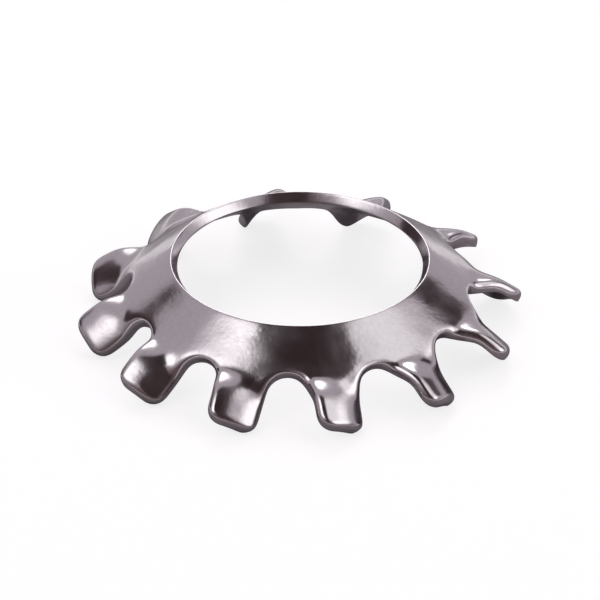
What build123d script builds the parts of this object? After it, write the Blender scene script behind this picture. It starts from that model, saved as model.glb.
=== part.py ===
from build123d import *
import os
from math import cos, radians, sin, sqrt

# Countersunk external-tooth lock washer, stamped from one sheet, in millimetres.
# The cone opens downwards: the hole is at its small upper end, and the teeth run out
# and down from its large lower end. +Z is the hole's axis, and the tips stand on Z = 0.

hole_diameter = 8.5      # smallest bore, passes an M8 screw
sheet = 0.4              # thickness of the spring steel
slope = 37.0             # fall of the cone wall below level, degrees
band = 1.78              # closed wall from the hole to the gaps, along the slope
tooth_length = 2.12      # from the bottom of the gaps to the tips, along the slope
tooth_width = 1.84
teeth = 12
twist = 31.0             # turn of each tooth about its own centre line, degrees
twist_run = 1.2          # length of tooth over which the twist grows
tip_radius = 0.47        # rounded corners of the tips
roll_radius = 0.2        # outer edges, drawn over by the punch
hole_land = 0.15         # upright sizing land at the bottom of the hole
root_share = 0.7         # of the gaps' end radius, how far back in the gaps the twist starts
sections = 5             # sections that carry the twist between a root and its blade
past = 1.0               # how far a cutting shape runs past the steel

# Distances down the wall are called slant. They start at the hole, in mid-sheet.
pitch = 360 / teeth
rise = sin(radians(slope))
run = cos(radians(slope))
land_depth = hole_land * rise * run
rim_radius = hole_diameter / 2 - land_depth + sheet * rise
start_radius = rim_radius - sheet / 2 * rise

# Laid flat, the cone is a fan about its apex. Each gap ends in a half circle that meets
# the parallel sides of both its teeth.
half_gap = radians(pitch / 2) * run
apex_slant = start_radius / run
gap_radius = ((apex_slant + band) * sin(half_gap) - tooth_width / 2) / (1 - sin(half_gap))
gap_slant = band + gap_radius
wide_slant = (apex_slant + gap_slant) * cos(half_gap) - apex_slant
root_slant = wide_slant - root_share * gap_radius
blade_slant = root_slant + twist_run
tip_slant = band + tooth_length
along = Vector(run, 0, -rise)


def on_wall(slant):
    """Point in mid-sheet on the centre line of the tooth along +X."""
    return Vector(start_radius + slant * run, 0, -slant * rise)


def across_tooth(slant, turn):
    """Plane square to the tooth: x runs over its width, y out of its outer face."""
    lean = radians(turn)
    width_way = Vector(-sin(lean) * rise, cos(lean), -sin(lean) * run)
    return Plane(origin=on_wall(slant), x_dir=width_way, z_dir=along)


# Band: the closed cone, notched by the gaps and cut square across the roots of the teeth.
top = run * sheet / 2
out = rise * sheet / 2
skirt = root_slant + gap_radius
with BuildPart() as stamping:
    with BuildSketch(Plane.XZ.rotated((0, 0, pitch / 2))) as wall:
        with BuildLine():
            Polyline(
                (rim_radius, top),
                (start_radius + skirt * run + out, top - skirt * rise),
                (start_radius + skirt * run - out, -top - skirt * rise),
                (hole_diameter / 2, -top - land_depth * rise / run),
                (hole_diameter / 2, -top + land_depth * run / rise),
                close=True,
            )
        make_face()
    revolve(axis=Axis.Z)

    with BuildSketch(Plane(origin=on_wall(gap_slant), x_dir=along, z_dir=(rise, 0, run))) as gap:
        Circle(gap_radius)
        with BuildLine():
            touch = Vector(-gap_radius * sin(half_gap), gap_radius * cos(half_gap))
            mouth = touch + (gap_radius + past) * Vector(cos(half_gap), sin(half_gap))
            Polyline(touch, mouth, (mouth.X, -mouth.Y), (touch.X, -touch.Y), close=True)
        make_face()
    notch = extrude(gap.sketch, amount=sheet / 2 + past, both=True, mode=Mode.PRIVATE)
    with PolarLocations(0, teeth, start_angle=pitch / 2):
        add(notch, mode=Mode.SUBTRACT)

    with BuildSketch(across_tooth(root_slant, 0)) as cut:
        Rectangle(tooth_width + 2 * gap_radius, sheet + 2 * past)
    beyond = extrude(cut.sketch, amount=gap_radius + past, mode=Mode.PRIVATE)
    with PolarLocations(0, teeth):
        add(beyond, mode=Mode.SUBTRACT)

    outer_wall = stamping.faces().filter_by(GeomType.CONE).sort_by(SortBy.AREA)[-1]
    fillet(outer_wall.edges().filter_by(GeomType.BSPLINE), roll_radius)

# Blade: the flat end of a tooth, at the full twist.
blade_plane = across_tooth(blade_slant, twist)
outward = Axis(blade_plane.origin, blade_plane.y_dir)
to_tip = Axis(blade_plane.origin, along)
blade_length = tip_slant - blade_slant
with BuildPart() as blade:
    with BuildSketch(Plane(blade_plane.origin, x_dir=along, z_dir=blade_plane.y_dir)) as outline:
        with Locations((blade_length / 2, 0)):
            Rectangle(blade_length, tooth_width)
        fillet(outline.vertices().group_by(Axis.X)[-1], tip_radius)
    extrude(amount=sheet / 2, both=True)
    outer_face = blade.faces().sort_by(outward)[-1]
    fillet(outer_face.edges().sort_by(to_tip)[1:], roll_radius)


# Neck: the twisting part of a tooth. Its sections lose the cone's curve as they turn.
def neck_section(share):
    """Section of the neck at this share of its length."""
    slant = root_slant + share * twist_run
    eased = share ** 2 * (3 - 2 * share)
    into_gap = max(0, wide_slant - slant)
    chord = sqrt(gap_radius ** 2 - into_gap ** 2)
    half_width = tooth_width / 2 + gap_radius - chord
    roll_width = roll_radius * gap_radius / chord
    bend_radius = (start_radius + root_slant * run) / rise / (1 - eased)

    def bent(across, above):
        angle = across / bend_radius
        reach = bend_radius + above
        return Vector(reach * sin(angle), reach * cos(angle) - bend_radius)

    def rolled_edge(side):
        handle = 4 / 3 * (sqrt(2) - 1)  # makes a cubic a quarter circle
        level = bent(side * (half_width - roll_width), sheet / 2)
        corner = bent(side * half_width, sheet / 2)
        upright = bent(side * half_width, sheet / 2 - roll_radius)
        from_level = level + handle * (corner - level)
        to_upright = upright + handle * (corner - upright)
        return Bezier(level, from_level, to_upright, upright)

    with BuildSketch(across_tooth(slant, twist * eased)) as section:
        with BuildLine():
            right = rolled_edge(1)
            left = rolled_edge(-1)
            Spline(right @ 0, bent(0, sheet / 2), left @ 0)
            foot = Spline(bent(half_width, -sheet / 2), bent(0, -sheet / 2), bent(-half_width, -sheet / 2))
            Line(right @ 1, foot @ 0)
            Line(left @ 1, foot @ 1)
        make_face()
    return section.sketch.face()


root = stamping.faces().filter_by(GeomType.PLANE).sort_by(Axis.X)[-1]
turning = [neck_section(step / (sections + 1)) for step in range(1, sections + 1)]
blade_root = blade.faces().sort_by(to_tip)[0]
with BuildPart() as neck:
    loft([root, *turning, blade_root])

with stamping:
    with PolarLocations(0, teeth):
        add(neck.part)
    with PolarLocations(0, teeth):
        add(blade.part)

with BuildPart() as washer:
    with Locations((0, 0, -stamping.part.bounding_box().min.Z)):
        add(stamping.part)

os.makedirs("parts", exist_ok=True)
washer.part.label = "washer"
export_step(washer.part, "parts/washer.step")
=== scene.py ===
from math import atan2, cos, hypot, pi, radians, sin, tan

import bmesh
import bpy
from mathutils import Matrix, Quaternion, Vector


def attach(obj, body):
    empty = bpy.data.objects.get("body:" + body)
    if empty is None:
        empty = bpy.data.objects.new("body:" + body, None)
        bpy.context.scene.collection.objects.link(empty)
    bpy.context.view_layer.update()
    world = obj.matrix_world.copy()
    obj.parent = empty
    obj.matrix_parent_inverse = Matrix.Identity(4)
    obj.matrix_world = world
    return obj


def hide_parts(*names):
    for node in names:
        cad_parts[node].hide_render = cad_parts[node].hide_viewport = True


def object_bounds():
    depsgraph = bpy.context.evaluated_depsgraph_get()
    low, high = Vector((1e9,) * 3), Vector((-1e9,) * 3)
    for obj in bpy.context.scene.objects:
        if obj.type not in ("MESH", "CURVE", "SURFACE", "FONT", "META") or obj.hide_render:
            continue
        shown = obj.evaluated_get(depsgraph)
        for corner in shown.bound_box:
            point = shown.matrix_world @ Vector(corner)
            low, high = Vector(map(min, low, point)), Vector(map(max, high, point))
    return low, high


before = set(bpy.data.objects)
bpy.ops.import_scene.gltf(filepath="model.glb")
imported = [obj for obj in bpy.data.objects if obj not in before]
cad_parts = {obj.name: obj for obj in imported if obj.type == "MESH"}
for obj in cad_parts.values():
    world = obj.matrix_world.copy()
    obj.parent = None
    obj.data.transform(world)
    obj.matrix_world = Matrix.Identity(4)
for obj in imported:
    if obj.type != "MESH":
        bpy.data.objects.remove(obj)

cadLow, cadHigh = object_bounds()
mm = 0.001


def pickOnly(*objs):
    bpy.ops.object.select_all(action="DESELECT")
    for obj in objs:
        obj.select_set(True)
    bpy.context.view_layer.objects.active = objs[0]


# Washer: one tooth with its share of the cone is shaped as a flat sheet, laid on the cone
# and twisted, then copied round, thickened and rounded.
washer = {
    "teeth": 12,
    "holeRadius": 4.25 * mm,
    "land": 0.15 * mm,           # upright step at the foot of the hole
    "sheet": 0.4 * mm,
    "slope": radians(37),
    "band": 1.78 * mm,           # hole to gap, down the slope
    "toothLength": 2.12 * mm,
    "toothWidth": 1.84 * mm,
    "twist": radians(31),
    "twistRun": 1.05 * mm,
    "rootShare": 0.7,            # of a gap's end radius, how far back in the gaps the twist starts
    "tipRadius": 0.47 * mm,
    "crown": 0.18 * mm,          # outward bulge of a tooth's face
    "roll": 0.32 * mm,           # rounding of the outer edges
    "innerShare": 0.2,           # of that rounding, on the inner edges
    "holeShare": 0.17,           # and on both edges of the hole
    "rollSteps": 3,
    "weld": 0.005 * mm,          # joins neighbouring teeth
    "bandRows": 5,
    "gapRows": 6,
    "bladeRows": 5,
    "columns": (0, 0.21, 0.42, 0.63, 1),   # from the tooth's centre line to its side
}

rise = sin(washer["slope"])
run = cos(washer["slope"])
startRadius = washer["holeRadius"] - washer["land"] * rise * run + washer["sheet"] / 2 * rise
halfFan = pi / washer["teeth"] * run             # half a tooth's share of the unrolled cone
apex = startRadius / run
halfWidth = washer["toothWidth"] / 2
gapRadius = ((apex + washer["band"]) * sin(halfFan) - halfWidth) / (1 - sin(halfFan))
wide = (apex + washer["band"] + gapRadius) * cos(halfFan) - apex    # where the gap is widest
twistStart = wide - washer["rootShare"] * gapRadius
tip = washer["band"] + washer["toothLength"]


def rowMiddle(side, across, slope):
    # where a row crosses the tooth's centre line, if it meets its side at this slope
    return side - across * slope / 3


def bend(middle, side, share):
    # a cubic, level on the centre line
    return middle + (side - middle) * share ** 3


def bandPoint(row, share):
    part = row / washer["bandRows"]
    gapFoot = apex + washer["band"]
    middle = rowMiddle(gapFoot * cos(halfFan) - apex, gapFoot * sin(halfFan), 1)
    reach = apex + part * bend(middle, washer["band"], share)
    turn = halfFan * share
    return reach * cos(turn) - apex, reach * sin(turn)


def gapPoint(row, share):
    # the rows meet the round end of the gap, at 45 degrees at its foot and squarely where it is widest
    part = row / washer["gapRows"]
    turn = halfFan + (pi / 2 - halfFan) * part
    side = wide - gapRadius * cos(turn)
    across = halfWidth + gapRadius - gapRadius * sin(turn)
    middle = rowMiddle(side, across, tan(radians(45) * (1 - part)))
    return bend(middle, side, share), across * share


def roundTip(distance, straight, corner):
    # goes along a straight and then round the corner, as (forward, sideways)
    if distance < straight:
        return distance, 0
    turn = (distance - straight) / corner
    return straight + corner * sin(turn), corner * (1 - cos(turn))


def bladePoint(row, share):
    # fills the blade from its four sides: root, flank, end and centre line
    part = row / washer["bladeRows"]
    corner = washer["tipRadius"]
    flank = tip - corner - wide
    end = halfWidth - corner
    forward, inward = roundTip(part * (flank + corner * pi / 4), flank, corner)
    sidePoint = Vector((wide + forward, halfWidth - inward))
    sideways, back = roundTip(share * (end + corner * pi / 4), end, corner)
    endPoint = Vector((tip - back, sideways))
    middlePoint = Vector((wide + (tip - wide) * part, 0))
    rootPoint = Vector((wide, halfWidth * share))
    cornerPoint = Vector((tip - corner + corner * sin(pi / 4), end + corner * cos(pi / 4)))
    blended = rootPoint * (1 - part) + endPoint * part + middlePoint * (1 - share) + sidePoint * share
    corners = (Vector((wide, 0)) * (1 - part) * (1 - share) + Vector((tip, 0)) * part * (1 - share)
               + Vector((wide, halfWidth)) * (1 - part) * share + cornerPoint * part * share)
    return tuple(blended - corners)     # along and across


def flatPoint(row, share):
    if row <= washer["bandRows"]:
        return bandPoint(row, share)
    row -= washer["bandRows"]
    if row <= washer["gapRows"]:
        return gapPoint(row, share)
    return bladePoint(row - washer["gapRows"], share)


def formedPoint(along, across):
    # rolls the flat sheet onto the cone, then straightens and twists the tooth
    reach = hypot(apex + along, across)
    turn = atan2(across, apex + along) / run
    onCone = Vector((reach * run * cos(turn), reach * run * sin(turn), (apex - reach) * rise))
    centre = Vector((startRadius + along * run, 0, -along * rise))
    grown = min(max((along - twistStart) / washer["twistRun"], 0), 1)
    eased = grown ** 2 * (3 - 2 * grown)
    bulge = washer["crown"] * (1 - (across / halfWidth) ** 2)
    straight = centre + Vector((rise * bulge, across, run * bulge))
    spin = Matrix.Rotation(-washer["twist"] * eased, 3, Vector((run, 0, -rise)))
    return centre + spin @ (onCone.lerp(straight, eased) - centre)


def makeToothSheet():
    bpy.ops.object.select_all(action="DESELECT")
    rows = washer["bandRows"] + washer["gapRows"] + washer["bladeRows"]
    half = len(washer["columns"]) - 1
    bpy.ops.mesh.primitive_grid_add(x_subdivisions=2 * half, y_subdivisions=rows, size=2)
    sheet = bpy.context.object
    for vert in sheet.data.vertices:
        column = round(vert.co.x * half)
        row = round((vert.co.y + 1) / 2 * rows)
        along, across = flatPoint(row, washer["columns"][abs(column)])
        vert.co = formedPoint(along, -across if column < 0 else across)
    return sheet


def copyRound(piece, count):
    copies = [piece]
    for step in range(1, count):
        pickOnly(piece)
        bpy.ops.object.duplicate()
        copies.append(bpy.context.object)
        bpy.context.object.rotation_euler.z = 2 * pi * step / count
    pickOnly(*copies)
    bpy.ops.object.join()
    bpy.ops.object.mode_set(mode="EDIT")
    bpy.ops.mesh.select_all(action="SELECT")
    bpy.ops.mesh.remove_doubles(threshold=washer["weld"])
    bpy.ops.mesh.normals_make_consistent(inside=False)
    bpy.ops.object.mode_set(mode="OBJECT")
    print("joined", len(copies), "teeth")
    return piece


def addModifier(piece, kind, **settings):
    pickOnly(piece)
    modifier = piece.modifiers.new(kind.title(), kind)
    for name, value in settings.items():
        setattr(modifier, name, value)
    bpy.ops.object.modifier_apply(modifier=modifier.name)


def weighEdges(mesh, shellFaces):
    # shellFaces faces make the outer side, as many the inner side, and the rest are walls
    weights = mesh.attributes.new("bevel_weight_edge", "FLOAT", "EDGE")
    shape = bmesh.new()
    shape.from_mesh(mesh)
    for edge in shape.edges:
        kinds = sorted(min(face.index // shellFaces, 2) for face in edge.link_faces)
        if kinds not in ([0, 2], [1, 2]):
            continue
        middle = (edge.verts[0].co + edge.verts[1].co) / 2
        atHole = hypot(middle.x, middle.y) < startRadius + washer["sheet"] / 2
        weights.data[edge.index].value = (
            washer["holeShare"] if atHole else 1 if kinds == [0, 2] else washer["innerShare"])
    shape.free()


def makeWasher():
    piece = copyRound(makeToothSheet(), washer["teeth"])
    piece.name = "toothedWasher"
    upward = sum(face.normal.z for face in piece.data.polygons)
    if upward < 0:
        piece.data.flip_normals()
    shellFaces = len(piece.data.polygons)
    addModifier(piece, "SOLIDIFY", thickness=washer["sheet"], offset=0, use_even_offset=True)
    weighEdges(piece.data, shellFaces)
    addModifier(piece, "BEVEL", width=washer["roll"], segments=washer["rollSteps"], limit_method="WEIGHT")
    addModifier(piece, "SUBSURF", levels=1, render_levels=1)
    # stands on its tips, as the solid does
    piece.location.z = cadLow.z - min(vert.co.z for vert in piece.data.vertices)
    pickOnly(piece)
    bpy.ops.object.transform_apply(location=True, rotation=False, scale=False)
    bpy.ops.object.shade_smooth()
    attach(piece, "root")
    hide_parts("washer")
    return piece


# Polished stainless steel, tumbled after stamping: a fine mottled grain and faint waves.
steel = {
    "colour": (0.66, 0.62, 0.65, 1),
    "smudge": (0.57, 0.52, 0.54, 1),
    "roughness": (0.13, 0.23),
    "haze": 0.9 * mm,            # size of the clouds in the roughness
    "hazeSpread": (0.3, 0.7),    # of the noise, from the glossiest to the roughest
    "grain": 0.14 * mm,          # size of the mottling, and how far it tips the surface
    "grainTilt": 0.02,
    "wave": 1.3 * mm,
    "waveTilt": 0.022,
}


def newMaterial(name):
    material = bpy.data.materials.new(name)
    material.use_nodes = True
    return material


def addNoise(tree, size, detail):
    where = tree.nodes.new("ShaderNodeTexCoord")
    noise = tree.nodes.new("ShaderNodeTexNoise")
    noise.inputs["Scale"].default_value = 1 / size
    noise.inputs["Detail"].default_value = detail
    tree.links.new(where.outputs["Object"], noise.inputs["Vector"])
    return noise.outputs["Fac"]


def addBump(tree, height, size, tilt, normal=None):
    bump = tree.nodes.new("ShaderNodeBump")
    bump.inputs["Distance"].default_value = size * tilt
    tree.links.new(height, bump.inputs["Height"])
    if normal:
        tree.links.new(normal, bump.inputs["Normal"])
    return bump.outputs["Normal"]


def makeSteel():
    material = newMaterial("polishedSteel")
    tree = material.node_tree
    shader = tree.nodes["Principled BSDF"]
    shader.inputs["Metallic"].default_value = 1
    grain = addNoise(tree, steel["grain"], 3)
    wave = addNoise(tree, steel["wave"], 1)
    cloud = addNoise(tree, steel["haze"], 4)
    tint = tree.nodes.new("ShaderNodeMix")
    tint.data_type = "RGBA"
    tint.inputs["A"].default_value = steel["colour"]
    tint.inputs["B"].default_value = steel["smudge"]
    tree.links.new(grain, tint.inputs["Factor"])
    tree.links.new(tint.outputs["Result"], shader.inputs["Base Color"])
    haze = tree.nodes.new("ShaderNodeMapRange")
    haze.inputs["From Min"].default_value, haze.inputs["From Max"].default_value = steel["hazeSpread"]
    haze.inputs["To Min"].default_value, haze.inputs["To Max"].default_value = steel["roughness"]
    tree.links.new(cloud, haze.inputs["Value"])
    tree.links.new(haze.outputs["Result"], shader.inputs["Roughness"])
    waved = addBump(tree, wave, steel["wave"], steel["waveTilt"])
    grained = addBump(tree, grain, steel["grain"], steel["grainTilt"], waved)
    tree.links.new(grained, shader.inputs["Normal"])
    return material


# Studio: pale floor, softboxes on both sides, low down and behind, and dark cards between them.
# A direction is given as the camera sees it: right, away and up.
studio = {
    "lens": 1200,
    "frameWidth": 20.5 * mm,     # of what the camera sees at the washer
    "elevation": radians(31.3),
    "heading": radians(11),
    "lookAt": 1.1 * mm,          # height on the hole's axis
    "farthest": 10,
    "floorSize": 2000 * mm,
    "floorColour": (0.32, 0.3, 0.315, 1),
    "floorRoughness": 0.8,
    "floorWhite": 0.79,          # glow that makes the lit floor white
    "paintedShadowReach": (10 * mm, 30 * mm),      # from the hole's axis, where the painted shadow in the floor's reflections fades out
    "grey": (0.51, 0.475, 0.51, 1),
    "dark": (0.14, 0.1, 0.1, 1),
    "greyAbove": (0.02, 0.45),   # where the room goes from dark to grey, upwards
    "greyBehind": (-0.2, 0.4),   # and towards the back
    "darkInFront": (-0.85, -0.5),          # at any height
    "softboxFade": 0.6,          # share of a softbox over which it fades to nothing
    "softboxes": (
        {"name": "leftSoftbox", "direction": (-0.53, -0.30, 0.80), "distance": 270 * mm,
         "size": (240 * mm, 240 * mm), "lean": 0, "strength": 1.95},
        {"name": "rightSoftbox", "direction": (0.61, -0.05, 0.79), "distance": 270 * mm,
         "size": (220 * mm, 220 * mm), "lean": 0, "strength": 1.15},
        {"name": "lowSoftbox", "direction": (0.84, -0.18, 0.46), "distance": 280 * mm,
         "size": (420 * mm, 220 * mm), "lean": radians(20), "strength": 1.75},
        {"name": "backSoftbox", "direction": (0, 0.75, 0.65), "distance": 300 * mm,
         "size": (250 * mm, 200 * mm), "lean": 0, "strength": 4.5},
    ),
    "flagDistance": 200 * mm,    # nearer than the softboxes, so that the flags cover them
    "flags": (
        {"name": "topFlag", "direction": (0.02, -0.16, 0.98), "size": (155 * mm, 122 * mm)},
        {"name": "frontFlag", "direction": (0.14, -0.66, 0.75), "size": (130 * mm, 175 * mm)},
        {"name": "leftFlag", "direction": (-0.85, 0.42, 0.28), "size": (100 * mm, 100 * mm)},
        {"name": "rightFlag", "direction": (0.69, 0.55, 0.46), "size": (50 * mm, 90 * mm)},
    ),
}


def addRamp(tree, value, start, end):
    ramp = tree.nodes.new("ShaderNodeMapRange")
    ramp.interpolation_type = "SMOOTHSTEP"
    ramp.inputs["From Min"].default_value = start
    ramp.inputs["From Max"].default_value = end
    tree.links.new(value, ramp.inputs["Value"])
    return ramp.outputs["Result"]


def addMath(tree, operation, first, second):
    # second is another node's output or a plain number
    node = tree.nodes.new("ShaderNodeMath")
    node.operation = operation
    tree.links.new(first, node.inputs[0])
    if isinstance(second, bpy.types.NodeSocket):
        tree.links.new(second, node.inputs[1])
    else:
        node.inputs[1].default_value = second
    return node.outputs["Value"]


def makeFloor():
    bpy.ops.object.select_all(action="DESELECT")
    bpy.ops.mesh.primitive_plane_add(size=studio["floorSize"])
    floor = bpy.context.object
    floor.name = "floor"
    material = newMaterial("paleFloor")
    tree = material.node_tree
    shader = tree.nodes["Principled BSDF"]
    shader.inputs["Base Color"].default_value = studio["floorColour"]
    shader.inputs["Roughness"].default_value = studio["floorRoughness"]
    shader.inputs["Specular IOR Level"].default_value = 0
    shader.inputs["Emission Color"].default_value = (1, 1, 1, 1)
    # the camera sees it white, and so do reflections, apart from a painted shadow close to the washer,
    # where reflected rays get no glow
    where = tree.nodes.new("ShaderNodeTexCoord")
    fromAxis = tree.nodes.new("ShaderNodeVectorMath")
    fromAxis.operation = "LENGTH"
    tree.links.new(where.outputs["Object"], fromAxis.inputs[0])
    # painted shadow: the white glow that reflections see fades to nothing towards the washer
    clear = addRamp(tree, fromAxis.outputs["Value"], *studio["paintedShadowReach"])
    rays = tree.nodes.new("ShaderNodeLightPath")
    bounced = addMath(tree, "MAXIMUM", rays.outputs["Is Glossy Ray"], rays.outputs["Is Transmission Ray"])
    reflectedPastPaintedShadow = addMath(tree, "MULTIPLY", bounced, clear)
    seen = addMath(tree, "MAXIMUM", rays.outputs["Is Camera Ray"], reflectedPastPaintedShadow)
    glow = addMath(tree, "MULTIPLY", seen, studio["floorWhite"])
    tree.links.new(glow, shader.inputs["Emission Strength"])
    floor.data.materials.append(material)
    print("floor ready")


def fromCamera(right, away, up):
    # a direction given as the camera sees it, turned to the washer's own frame
    return Matrix.Rotation(studio["heading"], 3, "Z").inverted() @ Vector((right, away, up))


def makeCamera():
    elevation = studio["elevation"]
    forward = fromCamera(0, cos(elevation), -sin(elevation))
    bpy.ops.object.camera_add()
    camera = bpy.context.object
    camera.data.lens = studio["lens"]
    camera.data.clip_end = studio["farthest"]
    distance = studio["frameWidth"] / camera.data.sensor_width * studio["lens"]
    camera.location = Vector((0, 0, studio["lookAt"])) - forward * distance
    camera.rotation_euler = forward.to_track_quat("-Z", "Y").to_euler()
    bpy.context.scene.camera = camera
    print("camera ready")


def addCard(name, direction, distance, size, lean):
    # faces the washer, and leans about its own middle; the camera doesn't see it
    bpy.ops.object.select_all(action="DESELECT")
    bpy.ops.mesh.primitive_plane_add(size=2)
    card = bpy.context.object
    card.name = name
    card.scale = (size[0] / 2, size[1] / 2, 1)
    towards = fromCamera(*direction).normalized()
    card.location = towards * distance
    upright = (-towards).to_track_quat("-Z", "Y")
    card.rotation_euler = (upright @ Quaternion((0, 0, 1), lean)).to_euler()
    card.visible_camera = False
    material = newMaterial(name)
    tree = material.node_tree
    tree.nodes.remove(tree.nodes["Principled BSDF"])
    card.data.materials.append(material)
    return tree


def addSoftbox(name, direction, distance, size, lean, strength):
    # brightest in its middle, and fading to nothing at its edges
    tree = addCard(name, direction, distance, size, lean)
    where = tree.nodes.new("ShaderNodeTexCoord")
    fade = tree.nodes.new("ShaderNodeTexGradient")
    fade.gradient_type = "SPHERICAL"
    glow = tree.nodes.new("ShaderNodeEmission")
    glow.inputs["Strength"].default_value = strength
    clear = tree.nodes.new("ShaderNodeBsdfTransparent")
    mix = tree.nodes.new("ShaderNodeMixShader")
    tree.links.new(where.outputs["Object"], fade.inputs["Vector"])
    tree.links.new(addRamp(tree, fade.outputs["Fac"], 0, studio["softboxFade"]), mix.inputs["Fac"])
    tree.links.new(clear.outputs["BSDF"], mix.inputs[1])
    tree.links.new(glow.outputs["Emission"], mix.inputs[2])
    tree.links.new(mix.outputs["Shader"], tree.nodes["Material Output"].inputs["Surface"])


def addFlag(name, direction, size):
    tree = addCard(name, direction, studio["flagDistance"], size, 0)
    cloth = tree.nodes.new("ShaderNodeBsdfDiffuse")
    cloth.inputs["Color"].default_value = studio["dark"]
    tree.links.new(cloth.outputs["BSDF"], tree.nodes["Material Output"].inputs["Surface"])


def makeWorld():
    # grey room, dark low down on the camera's side
    world = bpy.context.scene.world or bpy.data.worlds.new("studio")
    bpy.context.scene.world = world
    world.use_nodes = True
    tree = world.node_tree
    where = tree.nodes.new("ShaderNodeTexCoord")
    turned = tree.nodes.new("ShaderNodeVectorRotate")
    turned.rotation_type = "Z_AXIS"
    turned.inputs["Angle"].default_value = studio["heading"]
    parts = tree.nodes.new("ShaderNodeSeparateXYZ")
    tree.links.new(where.outputs["Generated"], turned.inputs["Vector"])
    tree.links.new(turned.outputs["Vector"], parts.inputs["Vector"])
    high = addRamp(tree, parts.outputs["Z"], *studio["greyAbove"])
    behind = addRamp(tree, parts.outputs["Y"], *studio["greyBehind"])
    pastFront = addRamp(tree, parts.outputs["Y"], *studio["darkInFront"])
    lit = addMath(tree, "MULTIPLY", addMath(tree, "MAXIMUM", high, behind), pastFront)
    shade = tree.nodes.new("ShaderNodeMix")
    shade.data_type = "RGBA"
    shade.inputs["A"].default_value = studio["dark"]
    shade.inputs["B"].default_value = studio["grey"]
    tree.links.new(lit, shade.inputs["Factor"])
    tree.links.new(shade.outputs["Result"], tree.nodes["Background"].inputs["Color"])


def makeLight():
    makeWorld()
    for softbox in studio["softboxes"]:
        addSoftbox(**softbox)
    for flag in studio["flags"]:
        addFlag(**flag)
    print("light ready,", len(studio["softboxes"]), "softboxes and", len(studio["flags"]), "flags")


toothedWasher = makeWasher()
toothedWasher.data.materials.clear()
toothedWasher.data.materials.append(makeSteel())
print("washer ready,", len(toothedWasher.data.polygons), "faces")
makeFloor()
makeCamera()
makeLight()

bpy.context.scene.view_settings.view_transform = "Standard"
